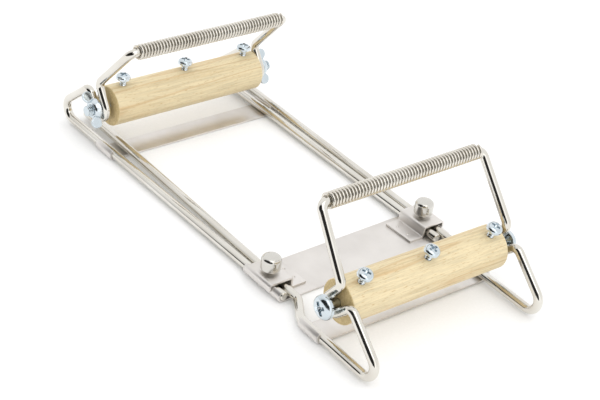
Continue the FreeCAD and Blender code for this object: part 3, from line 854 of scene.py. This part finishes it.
def roller(end):
    """Beech dowel along local X, drilled for its screws."""
    to_axle = shift(0, 0, -AXLE_Z[end])
    half = ROLLER_LONG / 2
    ease = ROLLER_EASE
    span = [(ROLLER_R, -half + ease + (ROLLER_LONG - 2 * ease) * i / ROLLER_STEPS)
            for i in range(ROLLER_STEPS + 1)]
    profile = [(0, -half), (ROLLER_R - ease, -half), (ROLLER_R - 0.12, -half + 0.3)] + span
    profile += [(ROLLER_R - 0.12, half - 0.3), (ROLLER_R - ease, half), (0, half)]
    mesh = lathe(profile, 96)
    mesh.transform(shift(ROLLER_SHIFT[end], 0, 0) @ Matrix.Rotation(math.pi / 2, 4, "Y"))
    for s in (1, -1):
        hole = cylinder(AXLE_R[end] + AXLE_GAP, -AXLE_DEEP, 2, 40)
        hole.transform(to_axle @ along_roller(end, s, half))
        mesh = boolean(mesh, hole, "DIFFERENCE")
    for k in (-1, 0, 1):
        hole = cylinder(TIE_R + TIE_GAP, -TIE_HOLE, 1, 28)
        hole.transform(to_axle @ tie_place(end, k))
        mesh = boolean(mesh, hole, "DIFFERENCE")
    add_piece(f"{end}_roller", mesh, f"{end}_roller_set", WOOD,
              PLACE[end] @ shift(0, 0, AXLE_Z[end]), degrees=30.0)


def any_turn():
    """A screw left at any turn of its cross recess."""
    return Matrix.Rotation(chance.uniform(0, math.pi / 2), 4, "Z")


def roller_set(end):
    roller(end)
    tie_mesh = tie_screw(end)
    for k, word in ((-1, HANDS[end][-1]), (0, "middle"), (1, HANDS[end][1])):
        add_piece(f"{end}_tie_screw_{word}", tie_mesh, f"{end}_roller_set", ZINC,
                  PLACE[end] @ tie_place(end, k) @ any_turn())


def far_axles():
    stud_mesh, nut_mesh = axle_stud(), wing_nut()
    for s, hand in HANDS["far"].items():
        start = ROLLER_LONG / 2 - AXLE_DEEP
        add_piece(f"far_axle_stud_{hand}", stud_mesh, "far_roller_set", ZINC,
                  PLACE["far"] @ along_roller("far", s, start))
        turn = Matrix.Rotation(math.radians(90 + s * WING_RISE[hand]), 4, "Z")
        name = f"far_wing_nut_{hand}"
        add_piece(name, nut_mesh, name, ZINC,
                  PLACE["far"] @ along_roller("far", s, NUT_SIDE) @ turn)


def near_axles():
    mesh = axle_screw()
    for s, hand in HANDS["near"].items():
        add_piece(f"near_axle_screw_{hand}", mesh, "near_roller_set", ZINC,
                  PLACE["near"] @ along_roller("near", s, NEAR_HEAD_SIDE) @ any_turn())


# ---------------------------------------------------------------- build

for make in (wire_frame, spring, cross_strap):
    for end in PLACE:
        make(end)
clamp_plate()
knob_mesh = knob()
for hand, facing in (("left", 1), ("right", -1)):
    clamp_bracket(hand, facing)
    clamp_screw(hand, knob_mesh)
for end in PLACE:
    roller_set(end)
far_axles()
near_axles()


# ---------------------------------------------------------------- floor, light and camera

# Metres, except the camera's turn: azimuth, elevation and roll in degrees.
FLOOR_HALF = 3.0
FLOOR_DROP = 0.0002
PAPER_SCALE = 900.0
KEY_PLACE = (-0.25, -0.45, 1.05)
KEY_AIM = (0, 0.03, 0.02)
KEY_SIZE = 0.9
KEY_POWER = 2.0
CAMERA_PLACE = (-0.37527, -0.34669, 0.34555)
CAMERA_TURN = (-44.16, 32.18, 8.93)

# Surroundings: directions, and (nearness to the direction, brightness) stops.
CARD_WAY = (-0.966, -0.197, 0.168)
CARD_STOPS = ((0.20, 1.06), (0.50, 0.92), (0.60, 0.78), (0.655, 0.02))
PANEL_WAY = (-0.62, -0.74, 0.26)
PANEL_STOPS = ((0.62, 1.0), (0.84, 1.5))
TENT_LIGHT = 1.22


def floor():
    bm = bmesh.new()
    bmesh.ops.create_grid(bm, x_segments=1, y_segments=1, size=FLOOR_HALF)
    mesh = bpy.data.meshes.new("floor")
    bm.to_mesh(mesh)
    bm.free()
    obj = bpy.data.objects.new("floor", mesh)
    obj.location = (0, 0, -FLOOR_DROP)
    scene.collection.objects.link(obj)
    material, shader, node = new_material("paper_floor")
    fibre = noise(node, node("ShaderNodeTexCoord").outputs["Object"], PAPER_SCALE)
    set_inputs(shader, Base_Color=ramp(node, fibre, [(0.3, grey(0.90)), (0.7, grey(0.93))]),
               Roughness=0.9, Specular_IOR_Level=0.1)
    mesh.materials.append(material)


def toward(node, direction, stops):
    """Brightness of the surroundings by how near a direction they lie."""
    dot = node("ShaderNodeVectorMath", {"operation": "DOT_PRODUCT"},
               _0=node("ShaderNodeTexCoord").outputs["Generated"],
               _1=Vector(direction).normalized())
    return ramp(node, dot.outputs["Value"], [(at, grey(value)) for at, value in stops])


def room():
    """White tent whose mirror image holds one black card on the left and a bright panel."""
    world = bpy.data.worlds.new("studio")
    scene.world = world
    world.use_nodes = True
    node = node_maker(world.node_tree)
    card = toward(node, CARD_WAY, CARD_STOPS)
    panel = toward(node, PANEL_WAY, PANEL_STOPS)
    mirrored = node("ShaderNodeVectorMath", {"operation": "MULTIPLY"}, _0=card, _1=panel)
    diffuse = node("ShaderNodeLightPath").outputs["Is Diffuse Ray"]
    seen = mix(node, diffuse, mirrored.outputs[0], grey(TENT_LIGHT))
    set_inputs(world.node_tree.nodes["Background"], Color=seen, Strength=1.0)


def key_light():
    data = bpy.data.lights.new("key", "AREA")
    data.shape = "RECTANGLE"
    data.size = data.size_y = KEY_SIZE
    data.energy = KEY_POWER
    obj = bpy.data.objects.new("key", data)
    obj.location = KEY_PLACE
    aim = Vector(KEY_AIM) - Vector(KEY_PLACE)
    obj.rotation_euler = aim.to_track_quat("-Z", "Y").to_euler()
    scene.collection.objects.link(obj)


def camera():
    """The photographer's camera: high on the left, a long lens, held a little rolled."""
    azimuth, elevation, roll = (math.radians(a) for a in CAMERA_TURN)
    back = Vector((math.sin(azimuth) * math.cos(elevation),
                   -math.cos(azimuth) * math.cos(elevation), math.sin(elevation)))
    right = (-back).cross(Vector((0, 0, 1))).normalized()
    up = right.cross(-back)
    rolled_right = right * math.cos(roll) + up * math.sin(roll)
    rolled_up = up * math.cos(roll) - right * math.sin(roll)
    turn = Matrix((rolled_right, rolled_up, back)).transposed().to_4x4()
    data = bpy.data.cameras.new("camera")
    data.lens = 85.74
    data.sensor_width = 36.0
    data.shift_x = 0.0162
    data.shift_y = -0.0016
    data.clip_start = 0.02
    obj = bpy.data.objects.new("camera", data)
    obj.matrix_world = Matrix.Translation(CAMERA_PLACE) @ turn
    scene.collection.objects.link(obj)
    scene.camera = obj


floor()
room()
key_light()
camera()
scene.view_settings.view_transform = "Standard"
